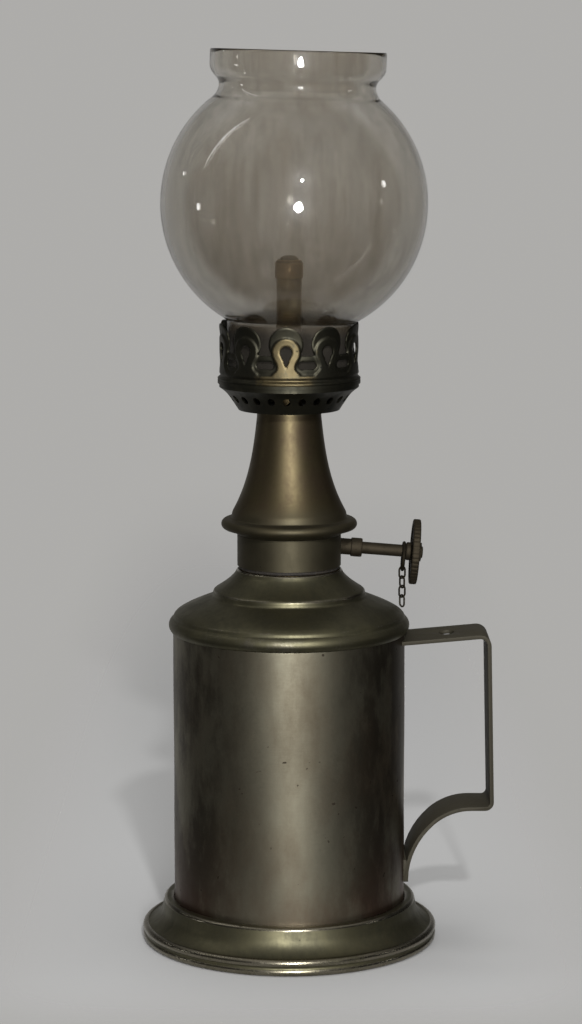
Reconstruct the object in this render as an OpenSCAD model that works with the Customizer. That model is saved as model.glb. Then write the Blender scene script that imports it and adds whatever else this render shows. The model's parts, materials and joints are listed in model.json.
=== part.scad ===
// Portable spirit lamp: a brass reservoir packed with felt, a screw-in burner whose wick is
// raised by a rack and pinion, a pierced gallery, and a loose glass globe that stands in it.
// Sizes are in millimetres. Z is the lamp's axis, pointing up, and the foot stands on z = 0.
// The handle points along +X, and the knob's shaft leaves the burner on the same side.

/* [Reservoir] */
// Outside diameter of the reservoir shell
reservoir_d = 61; // [56:0.5:64]
// Sheet thickness of the reservoir shell
reservoir_wall = 0.6; // [0.4:0.1:1.2]
// Length of the reservoir shell, from its bottom edge to its top edge
reservoir_h = 81.4; // [76:0.2:92]
// Height of the shell's bottom edge above the table
base_recess = 3; // [2:0.5:4]
// Thickness of the bottom plate
base_wall = 0.8; // [0.5:0.1:1.5]
// Thickness of the gauze disc that holds the felt down
gauze_t = 0.6; // [0.4:0.1:1]
// Depth of the gauze disc below the shell's top edge
gauze_depth = 4; // [3.6:0.2:8]
// Diameter of the hole down the middle of the felt
felt_hole_d = 6.4; // [5.4:0.2:9]

/* [Foot] */
// Outside diameter of the foot
foot_d = 78; // [75:0.5:86]
// Diameter of the raised ring around the shell
foot_ring_d = 66.8; // [65.4:0.2:68]
// Height of the raised ring's top above the table
foot_ring_h = 11.2; // [10:0.2:14]
// Height of the double bead at the foot's edge
foot_rim_h = 4.4; // [3.6:0.2:5]
// Sheet thickness of the foot
foot_wall = 0.9; // [0.6:0.1:1.1]

/* [Shoulder] */
// Outside diameter of the rolled bead around the shoulder
bead_d = 63.4; // [62.6:0.2:65]
// Height of the rolled bead
bead_h = 4.4; // [4:0.2:5]
// Rise of the dome from the bead to the step
dome_h = 4.9; // [3.5:0.1:6.5]
// Diameter of the step on top of the dome
step_d = 40; // [36:0.5:44]
// Height of the step
step_h = 1.3; // [0.8:0.1:2]
// Height of the flare that rises from the step to the neck
flare_h = 5.9; // [5.4:0.1:9]
// Sheet thickness of the shoulder
shoulder_wall = 0.6; // [0.5:0.1:0.9]

/* [Neck thread and seal] */
// Outside diameter of the burner's thread
thread_d = 18; // [16:0.5:20]
// Pitch of the thread
thread_pitch = 1.5; // [1:0.25:2]
// Turns of thread in engagement
thread_turns = 4; // [2:1:5]
// Depth of the thread
thread_depth = 0.35; // [0.2:0.05:0.5]
// Radial clearance between the thread and the neck's bore
thread_gap = 0.05; // [0.02:0.01:0.1]
// Thickness of the leather washer
seal_t = 1; // [0.6:0.1:2]

/* [Burner base] */
// Outside diameter of the burner base
burner_d = 27.2; // [26.4:0.2:29]
// Height of the burner base
burner_h = 8.2; // [7.8:0.2:12]
// Wall thickness of the burner base
burner_wall = 1; // [0.6:0.1:1.4]
// Thickness of the burner base's floor
burner_floor = 0.7; // [0.5:0.1:0.9]

/* [Column] */
// Height of the bell column, from the burner base to the gallery
column_h = 32.8; // [28:0.2:40]
// Outside diameter of the rounded flange near its lower edge
flange_d = 35.6; // [34:0.2:38]
// Height of that flange
flange_h = 2.6; // [2:0.2:3]
// Diameter of the bell at its foot, just above the flange
bell_d = 29.8; // [28.6:0.2:31]
// Diameter of the column's top
column_top_d = 16.8; // [14:0.2:19]
// How fast the radius grows just below the top, in mm per mm
column_taper = 0.11; // [0.06:0.01:0.16]
// Sheet thickness of the column
column_wall = 0.7; // [0.5:0.1:1]

/* [Wick tube] */
// Outside diameter of the fixed wick tube
tube_d = 6.5; // [6.5:0.1:7.4]
// Wall of the fixed wick tube
tube_wall = 0.4; // [0.3:0.05:0.5]
// Height of the nozzle's mouth above the plate that the glass stands on
tube_rise = 31.1; // [26:0.5:36]
// Outside diameter of the nozzle
nozzle_d = 7.3; // [7.3:0.1:8.6]
// Height of the nozzle
nozzle_h = 4.8; // [4:0.2:7]
// Wall of the sliding carrier tube
carrier_wall = 0.35; // [0.25:0.05:0.4]
// Radial clearance between the carrier and the fixed tube
carrier_gap = 0.08; // [0.04:0.01:0.1]
// Travel of the wick up or down from its stored place
wick_travel = 6; // [3:0.5:7]
// Height of the wick's tip above the nozzle's mouth
wick_show = 1; // [0.5:0.1:2]

/* [Wick adjuster] */
// Module of the rack and pinion
gear_module = 0.7; // [0.65:0.05:0.75]
// Number of teeth on the pinion
pinion_teeth = 9; // [9:1:10]
// Width of the pinion's teeth
pinion_w = 2; // [1.4:0.1:2.4]
// Diameter of the adjuster shaft
shaft_d = 3.2; // [2.6:0.1:3.4]
// Angle by which the shaft droops towards the knob, in degrees
shaft_droop = 4.5; // [0:0.5:5]
// Height of the shaft above the burner base's lower face, on the lamp's axis
shaft_rise = 4.7; // [4.6:0.1:5.2]
// Radial clearance between the shaft and its bearing
shaft_gap = 0.06; // [0.03:0.01:0.1]
// Outside diameter of the gland tube
gland_d = 4.3; // [4.2:0.1:4.8]
// Distance from the lamp's axis to the end of the gland tube, along the shaft
gland_reach = 17.9; // [16.5:0.1:20]
// Outside diameter of the gland nut
gland_nut_d = 5; // [5:0.1:6]
// Length of the gland nut past the end of the gland tube
gland_nut_l = 1.5; // [1.2:0.1:3]
// Diameter of the knob
knob_d = 17.3; // [14:0.1:19]
// Thickness of the knob
knob_t = 1.5; // [1.2:0.1:2.4]
// Distance from the lamp's axis to the knob's inner face, along the shaft
knob_reach = 32.4; // [30:0.1:36]
// Length of the hub behind the knob
hub_l = 1.4; // [1:0.1:2]
// Diameter of the hub
hub_d = 4.8; // [4.4:0.1:7]
// Number of notches around the knob's edge
knob_notches = 44; // [30:1:60]
// Width across the flats of the nut that holds the knob
nut_w = 4.4; // [4.2:0.1:5.5]
// Thickness of that nut
nut_t = 1.2; // [0.8:0.1:2]

/* [Chain] */
// Outside diameter of the ring that hangs on the shaft
ring_d = 8; // [7:0.1:9]
// Wire of that ring
ring_wire = 0.9; // [0.7:0.05:0.95]
// Outside length of a chain link
link_l = 3.6; // [3.4:0.1:3.9]
// Outside width of a chain link
link_w = 2.4; // [2.35:0.05:2.5]
// Wire of a chain link
link_wire = 0.5; // [0.4:0.05:0.5]
// Free play where one piece of the chain hangs in the next
link_play = 0.05; // [0.03:0.01:0.06]

/* [Gallery] */
// Outside diameter of the ledge where bowl, plate and crown meet
ledge_d = 37.2; // [36.6:0.2:40]
// Height of the bowl below the ledge
bowl_h = 7; // [6:0.2:9]
// Diameter of the bowl's flat bottom
bowl_bottom_d = 26.4; // [22:0.2:30]
// Diameter of the bowl where its wall bends outwards
bowl_knee_d = 32; // [31:0.2:34]
// Height of that bend above the bowl's bottom
bowl_knee_h = 4.1; // [3.6:0.1:4.6]
// Sheet thickness of the bowl
bowl_wall = 0.6; // [0.4:0.1:0.8]
// Number of air holes around the bowl
bowl_holes = 24; // [12:1:28]
// Diameter of those air holes
bowl_hole_d = 2; // [1:0.1:2.4]
// Thickness of the plate that the glass stands on
seat_t = 0.8; // [0.6:0.1:1.2]
// Height of the crown above that plate
crown_h = 15; // [13.6:0.1:15.4]
// Outside diameter of the crown's band
crown_d = 35.6; // [35.2:0.1:36.2]
// Sheet thickness of the crown
crown_wall = 0.5; // [0.4:0.05:0.6]
// Distance by which the tips of the crown curl outwards
crown_curl = 0.7; // [0.3:0.1:1.2]
// Number of lobes around the crown
crown_lobes = 10; // [8:1:11]
// Diameter of a lobe's round tip
lobe_d = 8.9; // [7:0.1:9.2]
// Diameter of the round part of the drop-shaped hole in each lobe
drop_d = 3.2; // [2.8:0.1:3.6]
// Height of the middle of that round part above the plate
drop_h = 8.6; // [8.3:0.1:9]
// Diameter of the raised ring around that hole
shoe_d = 7.8; // [6:0.1:8.2]
// Height of the middle of the bean-shaped slots above the plate
slot_h = 5.2; // [4.7:0.1:5.4]
// Height of the raised pattern on the crown
relief = 0.35; // [0.2:0.05:0.5]

/* [Glass] */
// Outside diameter of the globe
globe_d = 69.2; // [60:0.2:76]
// Outside diameter of the fitter that stands in the crown
fitter_d = 33.2; // [32:0.1:33.4]
// Height of the globe's centre above the fitter's bottom edge
globe_z = 45; // [44:0.1:48]
// Height of the glass
glass_h = 84.2; // [83.6:0.2:92]
// Outside diameter of the waist above the globe
waist_d = 40.4; // [36:0.2:43]
// Height of the waist above the fitter's bottom edge
waist_z = 75.1; // [74.6:0.1:78]
// Outside diameter of the rim
rim_d = 45.4; // [43:0.2:50]
// Height of the rim's straight part
rim_h = 4; // [2:0.1:4.4]
// Thickness of the glass
glass_wall = 1.2; // [0.9:0.1:1.5]
// Angle by which the loose glass leans towards the handle, in degrees
glass_lean = 1.65; // [0:0.05:1.8]

/* [Handle] */
// Width of the handle strap
strap_w = 12.5; // [8:0.5:14]
// Thickness of the handle strap
strap_t = 1; // [0.8:0.1:1.2]
// Distance from the lamp's axis to the middle of the upright bar's top
handle_reach = 52.2; // [48:0.2:62]
// Depth of the strap's upper end below the shell's top edge
handle_drop = 3.4; // [3.4:0.1:8]
// Height of the lower strap above the table
handle_low = 35.6; // [32:0.2:44]
// Height of the strap's lower end above the table
handle_end = 15.6; // [13:0.2:17]
// Angle by which the upper strap rises outwards, in degrees
handle_rise = 4.7; // [0:0.1:6]
// Angle by which the upright bar leans outwards, in degrees
handle_splay = 1.75; // [0:0.25:4]
// Angle by which the lower strap rises towards the reservoir, in degrees
handle_kick = 0.6; // [0:0.05:6]
// Slope of the lower strap's straightest run, in degrees below level
handle_sweep = 42; // [38:1:48]
// Angle of the whole strap about the X axis, in degrees
handle_roll = 4; // [0:0.5:5]
// Angle of the strap behind the X axis, in degrees
handle_azimuth = 2; // [0:0.5:10]
// Diameter of the hanging hole
hang_hole_d = 4.1; // [3:0.1:6]
// Distance from the lamp's axis to the hanging hole
hang_hole_x = 41.4; // [38:0.2:44]

/* [Hidden] */
$fn = 96;
eps = 0.01;
// Clearance between pieces that are soldered, pressed or screwed together
fit_gap = 0.02;
// Clearance around a soft piece
soft_gap = 0.2;
// Clearance under and around the glass, which stands loose
glass_gap = 0.05;

// Radii and heights of the reservoir
shell_r = reservoir_d / 2;
bore_r = shell_r - reservoir_wall;
shell_z0 = base_recess;
shell_z1 = base_recess + reservoir_h;
base_z1 = shell_z0 + base_wall;
gauze_z = shell_z1 - gauze_depth;

// Shoulder, from the bead up to the neck
bead_r = bead_d / 2;
bead_roll = bead_h / 2;
bead_angle = acos((shell_r - bead_r + bead_roll) / bead_roll);
dome_r = bead_r - 1.4;
dome_z0 = shell_z1 + bead_roll + 0.6;
dome_z1 = dome_z0 + dome_h;
// Powers that shape the dome and the flare
dome_power = 0.75;
flare_power = 0.65;
step_r = step_d / 2;
// Rounding at the top of the step
step_round = 0.5;
neck_r = burner_d / 2 + 0.1;
neck_z = dome_z1 + step_h + flare_h;

// Thread, burner base and column
thread_r = thread_d / 2;
thread_l = thread_pitch * thread_turns;
thread_wall = 1;
burner_r = burner_d / 2;
burner_z = neck_z + seal_t;
column_z = burner_z + burner_h;
column_z1 = column_z + column_h;
flange_r = flange_d / 2;
flange_roll = flange_h / 2;
flange_z = column_z + flange_roll + 1.4;
bell_r = bell_d / 2;
bell_z = flange_z + flange_roll + 1.9;
column_top_r = column_top_d / 2;
// Straight part of the column under the gallery
column_top_h = 1.8;
bell_l = column_z1 - column_top_h - bell_z;
bell_cube = (bell_r - column_top_r - column_taper * bell_l) / pow(bell_l, 3);

// Gallery and glass
bowl_z = column_z1;
seat_z = bowl_z + bowl_h;
crown_z = seat_z + seat_t;
ledge_r = ledge_d / 2;
crown_r = crown_d / 2;
fitter_r = fitter_d / 2;
globe_r = globe_d / 2;
// Turn of the crown, so that one lobe faces the front as on the real lamp
crown_turn = -92.4;
lobe_pitch = 360 / crown_lobes;
lobe_z = crown_h - lobe_d / 2;

// Wick tube, carrier and wick
tube_r = tube_d / 2;
tube_hole_r = tube_r + 0.05;
nozzle_z1 = crown_z + tube_rise;
nozzle_z0 = nozzle_z1 - nozzle_h;
tube_z1 = nozzle_z1 - 1.6;
carrier_r = tube_r - tube_wall - carrier_gap;
wick_r = carrier_r - carrier_wall - fit_gap;
mouth_r = wick_r + soft_gap;

// Shaft, pinion and rack
gear_pitch = PI * gear_module;
pinion_r = gear_module * pinion_teeth / 2;
gear_tip = 0.85 * gear_module;
gear_root = 1.1 * gear_module;
// Half of the play between the teeth on each flank, which also takes up the shaft's droop
gear_play = 0.1;
gear_angle = 20;
rack_w = 1.8;
rack_slot = rack_w + 0.6;
rack_pitch_y = tube_r + 1.05;
rack_room = 0.7;
rack_teeth = ceil((wick_travel + pinion_r) / gear_pitch);
// Half the length of the rack, and half the length of the slot that it slides in
rack_end = (rack_teeth + 0.45) * gear_pitch;
slot_end = rack_end + wick_travel + rack_room;
shaft_r = shaft_d / 2;
shaft_y = rack_pitch_y + pinion_r;
shaft_z = burner_z + shaft_rise;
// Depth of the shaft's inner end past the middle of the pinion
shaft_tail = pinion_w / 2 + 0.8;
tube_z0 = shaft_z - slot_end - 1;
carrier_z0 = shaft_z - rack_end - 1;
carrier_z1 = nozzle_z1 - wick_travel - 4;
packing_l = 0.9;
knob_z1 = knob_reach + knob_t;
shaft_end = knob_z1 + nut_t + 0.4;
// Room on the shaft for the chain's ring, between the gland nut and the knob's hub
ring_t = knob_reach - hub_l - ring_wire / 2 - 0.1;

// Places where the chain's pieces hang, found from the ring's lowest point
ring_r = (ring_d - ring_wire) / 2;
ring_hang = ring_r - ring_wire / 2 - shaft_r - link_play;
ring_low = ring_hang + ring_r;
chain_x = ring_t * cos(shaft_droop) - ring_low * sin(shaft_droop);
chain_z = shaft_z - ring_t * sin(shaft_droop) - ring_low * cos(shaft_droop);
link_r = (link_w - link_wire) / 2;
link_straight = link_l - link_w;
link_top = chain_z + ring_wire / 2 + link_wire / 2 + link_play;
link_pitch = link_l - 2 * link_wire - link_play;
// Turn of the odd links about the vertical, out of the plane of the shaft
link_turn = 35;

// Handle strap: the headings of its runs and the radii of its bends
strap_r_top = 2.5;
strap_r_low = 1.8;
strap_r_kick = 15;
strap_r_sweep = 21;
// Shortest straight run on either side of those two long bends
strap_rest = 0.5;
strap_x0 = shell_r - 2;
strap_z0 = shell_z1 - handle_drop - 0.1;
strap_pivot_z = (shell_z1 + shell_z0) / 2;
head_bar = -(90 - handle_splay);
head_low = -(180 + handle_kick);
head_sweep = -(180 - handle_sweep);
top_l = (handle_reach - strap_x0 - bend(handle_rise, strap_r_top, head_bar)[0]) / cos(handle_rise);
top_end = strap_z0 + top_l * sin(handle_rise) + bend(handle_rise, strap_r_top, head_bar)[1];
bar_l = (top_end + bend(head_bar, strap_r_low, head_low)[1] - handle_low) / cos(handle_splay);
low_x = handle_reach + bar_l * sin(handle_splay) + bend(head_bar, strap_r_low, head_low)[0];
long_bends = bend(head_low, strap_r_kick, head_sweep) + bend(head_sweep, strap_r_sweep, -90);
room_x = low_x - shell_r - strap_t / 2 - strap_rest;
room_z = handle_low - handle_end - strap_rest;
// The two long bends shrink together where the handle leaves them too little room
bend_fit = min(1, room_x / -long_bends[0], room_z / -long_bends[1]);
sweep_x = bend_fit * long_bends[0];
sweep_z = bend_fit * long_bends[1];
low_l = (low_x + sweep_x - shell_r - strap_t / 2) / cos(handle_kick);
tail_l = handle_low + low_l * sin(handle_kick) + sweep_z - handle_end;
// Height of the part of the strap that is soldered to the wall
tab_h = 6;
STRAP = [
    [top_l, 0, handle_rise], [0, strap_r_top, head_bar],
    [bar_l, 0, head_bar], [0, strap_r_low, head_low],
    [low_l, 0, head_low], [0, bend_fit * strap_r_kick, head_sweep],
    [0, bend_fit * strap_r_sweep, -90], [tail_l, 0, -90]
];

// Points of an arc about a centre, from one angle to another
function arc(c, r, a0, a1, n = 12) =
    [for (i = [0:n]) let(a = a0 + (a1 - a0) * i / n) [c[0] + r * cos(a), c[1] + r * sin(a)]];

// Points of a smooth curve from p0 to p3 that leaves towards p1 and arrives from p2
function curve(p0, p1, p2, p3, n = 10) =
    [for (i = [0:n]) let(t = i / n, s = 1 - t)
        s * s * s * p0 + 3 * s * s * t * p1 + 3 * s * t * t * p2 + t * t * t * p3];

function reversed(list) = [for (i = [len(list) - 1:-1:0]) list[i]];

// Displacement of a strap that bends with radius r from heading a0 to heading a1
function bend(a0, r, a1) =
    let(s = sign(a1 - a0)) r * s * [sin(a1) - sin(a0), cos(a0) - cos(a1)];

// Points and headings along a strap made of straight runs and bends
function strap_path(p, a, runs, i = 0) =
    i == len(runs) ? [] :
    let(run = runs[i], n = run[1] == 0 ? 1 : 8)
    let(steps = run[1] == 0
        ? [[p[0] + run[0] * cos(a), p[1] + run[0] * sin(a), a]]
        : [for (k = [1:n]) let(h = a + (run[2] - a) * k / n, d = bend(a, run[1], h))
            [p[0] + d[0], p[1] + d[1], h]])
    concat(steps, strap_path(steps[len(steps) - 1], run[2], runs, i + 1));

// Change of a pinion tooth's half angle between the pitch circle and radius r
function flank(r) = let(a = acos(min(1, pinion_r * cos(gear_angle) / r)))
    (tan(gear_angle) - tan(a)) * 180 / PI - gear_angle + a;

// One side of the strap, at a distance to the left of its path
function strap_side(path, d) =
    [for (q = path) [q[0] - d * sin(q[2]), q[1] + d * cos(q[2])]];

// The outline of the glass from its fitter up to its rim, moved in by a distance
function glass_side(d) = let(
    r_fit = fitter_r - d, r_globe = globe_r - d, r_waist = waist_d / 2 - d, r_rim = rim_d / 2 - d,
    low_r = r_fit + 0.8, low_a = -acos(low_r / r_globe),
    high_r = r_waist + 1.6, high_a = acos(high_r / r_globe),
    low_p = [low_r, globe_z + r_globe * sin(low_a)],
    high_p = [high_r, globe_z + r_globe * sin(high_a)],
    rim_z = glass_h - rim_h)
    concat(
        [[r_fit, 0]],
        curve([r_fit, low_p[1] - 2], [r_fit, low_p[1] - 1],
            low_p - 1 * [-sin(low_a), cos(low_a)], low_p, 6),
        arc([0, globe_z], r_globe, low_a, high_a, 60),
        curve(high_p, high_p + 1.4 * [-sin(high_a), cos(high_a)],
            [r_waist, waist_z - 1], [r_waist, waist_z], 8),
        curve([r_waist, waist_z], [r_waist, waist_z + 2], [r_rim, rim_z - 2.6],
            [r_rim, rim_z], 10),
        [[r_rim, glass_h - 0.3], [r_rim - 0.3, glass_h]]);

module lathe(points) rotate_extrude() polygon(points);

module tube(r_in, r_out, z0, z1) lathe([[r_in, z0], [r_out, z0], [r_out, z1], [r_in, z1]]);

// Places children with their Z axis along the drooping shaft, starting beside the rack
module along_shaft(t = 0)
    translate([0, shaft_y, shaft_z]) rotate([0, 90 + shaft_droop, 0]) translate([0, 0, t])
        children();

// A flat outline pushed outwards through the crown's wall, at one place around it
module through_crown(angle)
    rotate([0, 0, angle]) translate([crown_r - 3, 0, crown_z]) rotate([90, 0, 90])
        linear_extrude(6) children();

module foot() color("darkkhaki") {
    edge_r = foot_d / 2;
    roll = foot_rim_h / 4;
    roll_x = edge_r - roll;
    ring_r = foot_ring_d / 2;
    groove = 50;
    cove_start = [roll_x - 0.55, 3 * roll + 0.95];
    cove_end = [ring_r + 0.4, foot_ring_h - 3];
    lathe(concat(
        [[roll_x - 1.1, 0], [roll_x, 0]],
        arc([roll_x, roll], roll, -90, groove),
        arc([roll_x, 3 * roll], roll, -groove, 120),
        curve(cove_start, cove_start + [-1.3, 0.5], cove_end + [0.4, -2], cove_end),
        arc([ring_r - 1, foot_ring_h - 1], 1, 0, 90, 6),
        [[shell_r, foot_ring_h], [shell_r, base_recess], [shell_r + foot_wall, base_recess],
         [shell_r + foot_wall, foot_ring_h - 2], [ring_r - foot_wall, foot_ring_h - 2],
         [ring_r - foot_wall, foot_ring_h - 4.6], [roll_x - 1.1, 2.6]]
    ));
}

module base_plate() color("darkkhaki") tube(0, bore_r - fit_gap, shell_z0, base_z1);

module reservoir_shell() color("gray") tube(bore_r, shell_r, shell_z0, shell_z1);

module shoulder() color("darkkhaki") {
    centre = [bead_r - bead_roll, shell_z1];
    dome = [for (i = [0:10]) let(u = i / 10)
        [dome_r + (step_r - dome_r) * u, dome_z0 + dome_h * pow(u, dome_power)]];
    flare_r = step_r - step_round;
    flare_z = dome_z1 + step_h + step_round;
    flare = [for (i = [0:12]) let(u = 1 - i / 12)
        [neck_r + (flare_r - neck_r) * u, neck_z - (neck_z - flare_z) * pow(u, flare_power)]];
    inner_flare = [for (p = reversed(flare)) p - 0.8 * shoulder_wall * [1, 0.7]];
    inner_dome = [for (p = reversed(dome)) p - shoulder_wall * [0.5, 1]];
    lathe(concat(
        arc(centre, bead_roll, -bead_angle, bead_angle),
        dome, [[step_r, dome_z1 + step_h]], flare,
        [[neck_r - 0.8 * shoulder_wall, neck_z]], inner_flare, inner_dome,
        [[bore_r, dome_z0 - 1.2], [bore_r, shell_z1], [shell_r, shell_z1]]
    ));
}

module neck_boss() color("goldenrod")
    tube(thread_r + thread_gap, neck_r - 0.8 * shoulder_wall - fit_gap, neck_z - thread_l - 0.5,
        neck_z);

module felt_packing() color("tan")
    tube(felt_hole_d / 2, bore_r - soft_gap, base_z1, gauze_z);

module felt_gauze() color("goldenrod")
    tube(felt_hole_d / 2, bore_r - fit_gap, gauze_z, gauze_z + gauze_t);

module handle_strap() color("dimgray") {
    path = concat([[strap_x0, strap_z0, handle_rise]],
        strap_path([strap_x0, strap_z0], handle_rise, STRAP));
    difference() {
        rotate([0, 0, handle_azimuth])
            translate([0, 0, strap_pivot_z]) rotate([handle_roll, 0, 0])
                translate([0, 0, -strap_pivot_z]) difference() {
                    rotate([90, 0, 0]) union() {
                        linear_extrude(strap_w, center = true)
                            polygon(concat(strap_side(path, strap_t / 2),
                                reversed(strap_side(path, -strap_t / 2))));
                        // The soldered end, thick enough to be shaped to the round wall
                        translate([shell_r - 1, handle_end, -strap_w / 2])
                            cube([1 + strap_t / 2, tab_h, strap_w]);
                    }
                    translate([hang_hole_x, 0,
                        strap_z0 + (hang_hole_x - strap_x0) * tan(handle_rise)])
                        rotate([0, -handle_rise, 0])
                            cylinder(d = hang_hole_d, h = 3 * strap_t, center = true);
                }
        cylinder(r = shell_r, h = shell_z1);
    }
}

module seal_washer() color("saddlebrown")
    tube(thread_r + 2 * thread_gap, neck_r - 0.6, neck_z, burner_z);

module burner_base() color("darkgoldenrod") difference() {
    thread_z = neck_z - thread_l;
    crest = 0.45 * thread_pitch;
    slope = 0.2 * thread_pitch;
    // The thread is drawn as rings, with room for the neck's plain bore around it
    thread = [for (i = [0:thread_turns - 1]) let(z = thread_z + i * thread_pitch)
        each [[thread_r, z], [thread_r, z + crest], [thread_r - thread_depth, z + crest + slope],
            [thread_r - thread_depth, z + thread_pitch - slope / 2]]];
    lathe(concat(
        [[thread_r - thread_wall - thread_depth, thread_z]], thread,
        [[thread_r, neck_z], [thread_r, burner_z], [burner_r, burner_z],
         [burner_r, column_z], [burner_r - burner_wall, column_z],
         [burner_r - burner_wall, burner_z + burner_floor],
         [tube_hole_r, burner_z + burner_floor], [tube_hole_r, burner_z],
         [thread_r - thread_wall - thread_depth, burner_z]]
    ));
    translate([-rack_slot / 2, 0, burner_z - 1])
        cube([rack_slot, rack_pitch_y + gear_tip + 0.4, burner_floor + 2]);
    along_shaft(burner_r / 2) cylinder(d = gland_d + 2 * fit_gap, h = burner_r);
}

module bell_column() color("darkgoldenrod") {
    bell = [for (i = [0:24]) let(u = bell_l * (1 - i / 24))
        [column_top_r + column_taper * u + bell_cube * pow(u, 3), bell_z + bell_l - u]];
    inner_bell = [for (p = reversed(bell)) p - [column_wall, 0]];
    inner_r = burner_r - burner_wall;
    lathe(concat(
        [[inner_r, column_z], [burner_r, column_z], [burner_r + 1.6, flange_z - flange_roll]],
        arc([flange_r - flange_roll, flange_z], flange_roll, -95, 90),
        [[bell_r + 0.3, flange_z + flange_roll + 0.3]], bell,
        [[column_top_r, column_z1], [tube_hole_r, column_z1], [tube_hole_r, column_z1 - column_wall],
         [column_top_r - column_wall, column_z1 - column_wall]],
        inner_bell, [[inner_r, flange_z]]
    ));
}

module shaft_gland() color("dimgray") {
    start = sqrt(pow(burner_r - burner_wall, 2) - pow(shaft_y, 2)) - 0.8;
    along_shaft(start) difference() {
        cylinder(d = gland_d, h = gland_reach - start);
        translate([0, 0, -eps]) cylinder(r = shaft_r + shaft_gap, h = gland_reach - start + 1);
    }
}

module gland_packing() color("tan")
    along_shaft(gland_reach) difference() {
        cylinder(d = gland_nut_d - 1.2, h = packing_l);
        translate([0, 0, -eps]) cylinder(r = shaft_r + shaft_gap, h = packing_l + 1);
    }

module gland_nut() color("dimgray")
    along_shaft(gland_reach - gland_nut_l) difference() {
        cylinder(d = gland_nut_d, h = 2 * gland_nut_l);
        translate([0, 0, -eps]) cylinder(r = shaft_r + shaft_gap, h = 3 * gland_nut_l);
        translate([0, 0, -eps]) cylinder(d = gland_d + 2 * fit_gap, h = gland_nut_l + 2 * eps);
        translate([0, 0, gland_nut_l])
            cylinder(d = gland_nut_d - 1.2 + 2 * fit_gap, h = packing_l + fit_gap);
    }

module wick_tube() color("darkgoldenrod") difference() {
    tube(tube_r - tube_wall, tube_r, tube_z0, tube_z1);
    translate([-rack_slot / 2, 0, shaft_z - slot_end])
        cube([rack_slot, tube_r + 1, 2 * slot_end]);
}

module wick_nozzle() color("sienna")
    lathe([
        [tube_r + fit_gap, nozzle_z0], [nozzle_d / 2, nozzle_z0], [nozzle_d / 2, nozzle_z1 - 0.9],
        [mouth_r + 0.45, nozzle_z1], [mouth_r, nozzle_z1], [mouth_r, tube_z1],
        [tube_r + fit_gap, tube_z1]
    ]);

module wick_carrier() color("goldenrod")
    tube(carrier_r - carrier_wall, carrier_r, carrier_z0, carrier_z1);

module wick_rack() color("goldenrod") {
    half = gear_pitch / 4 - gear_play;
    tip_half = half - gear_tip * tan(gear_angle);
    root_half = half + gear_root * tan(gear_angle);
    root_y = rack_pitch_y - gear_root;
    // Teeth stand half a pitch above and below the shaft, so a pinion tooth lies between them
    outline = [for (k = [-rack_teeth:rack_teeth - 1]) let(z = (k + 0.5) * gear_pitch)
        each [[root_y, z - root_half], [rack_pitch_y + gear_tip, z - tip_half],
            [rack_pitch_y + gear_tip, z + tip_half], [root_y, z + root_half]]];
    translate([0, 0, shaft_z]) difference() {
        rotate([90, 0, 90]) linear_extrude(rack_w, center = true)
            polygon(concat([[0, -rack_end], [root_y, -rack_end]], outline,
                [[root_y, rack_end], [0, rack_end]]));
        cylinder(r = carrier_r, h = 3 * rack_end, center = true);
    }
}

module wick() color("ivory") {
    wick_z1 = nozzle_z1 + wick_show;
    lathe([[0, base_z1 + wick_travel + 4], [wick_r, base_z1 + wick_travel + 4],
        [wick_r, wick_z1 - 0.7], [wick_r - 0.7, wick_z1], [0, wick_z1]]);
}

module pinion() color("goldenrod") along_shaft(-pinion_w / 2) {
    half = (gear_pitch / 4 - gear_play) / pinion_r * 180 / PI;
    base_r = pinion_r * cos(gear_angle);
    tip_r = pinion_r + gear_tip;
    root_r = pinion_r - gear_root;
    mid_r = (pinion_r + tip_r) / 2;
    steps = [[root_r, 0.62 * half], [base_r, half + flank(base_r) - 1.2], [pinion_r, half],
        [mid_r, half + flank(mid_r)], [tip_r, half + flank(tip_r)]];
    outline = [for (i = [0:pinion_teeth - 1]) let(a = i * 360 / pinion_teeth - 90)
        each concat([for (s = steps) s[0] * [cos(a - s[1]), sin(a - s[1])]],
            [for (s = reversed(steps)) s[0] * [cos(a + s[1]), sin(a + s[1])]])];
    difference() {
        linear_extrude(pinion_w) polygon(outline);
        translate([0, 0, -1]) cylinder(r = shaft_r + fit_gap, h = pinion_w + 2);
    }
}

module adjuster_shaft() color("dimgray")
    along_shaft(-shaft_tail) cylinder(r = shaft_r, h = shaft_tail + shaft_end);

module knob_hub() color("dimgray")
    along_shaft(knob_reach - hub_l) difference() {
        cylinder(d = hub_d, h = hub_l);
        translate([0, 0, -1]) cylinder(r = shaft_r + fit_gap, h = hub_l + 2);
    }

module knob_disc() color("dimgray") along_shaft(knob_reach) {
    knob_r = knob_d / 2;
    notch = 0.25;
    step = 360 / knob_notches;
    edge = [for (i = [0:knob_notches - 1])
        each [for (c = [[0, -notch], [0.2, 0], [0.7, 0], [0.9, -notch]]) let(a = (i + c[0]) * step)
            (knob_r + c[1]) * [cos(a), sin(a)]]];
    difference() {
        linear_extrude(knob_t) polygon(edge);
        translate([0, 0, -1]) cylinder(r = shaft_r + fit_gap, h = knob_t + 2);
        // A shallow dish in both faces, inside a raised edge
        for (z = [-1, knob_t - 0.35]) translate([0, 0, z]) difference() {
            cylinder(r = knob_r - 1.3, h = 1.35);
            translate([0, 0, -1]) cylinder(r = hub_d / 2 + 0.9, h = 4);
        }
    }
}

module knob_nut() color("dimgray")
    along_shaft(knob_z1) difference() {
        cylinder(d = nut_w / cos(30), h = nut_t, $fn = 6);
        translate([0, 0, -1]) cylinder(r = shaft_r + fit_gap, h = nut_t + 2);
    }

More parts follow.
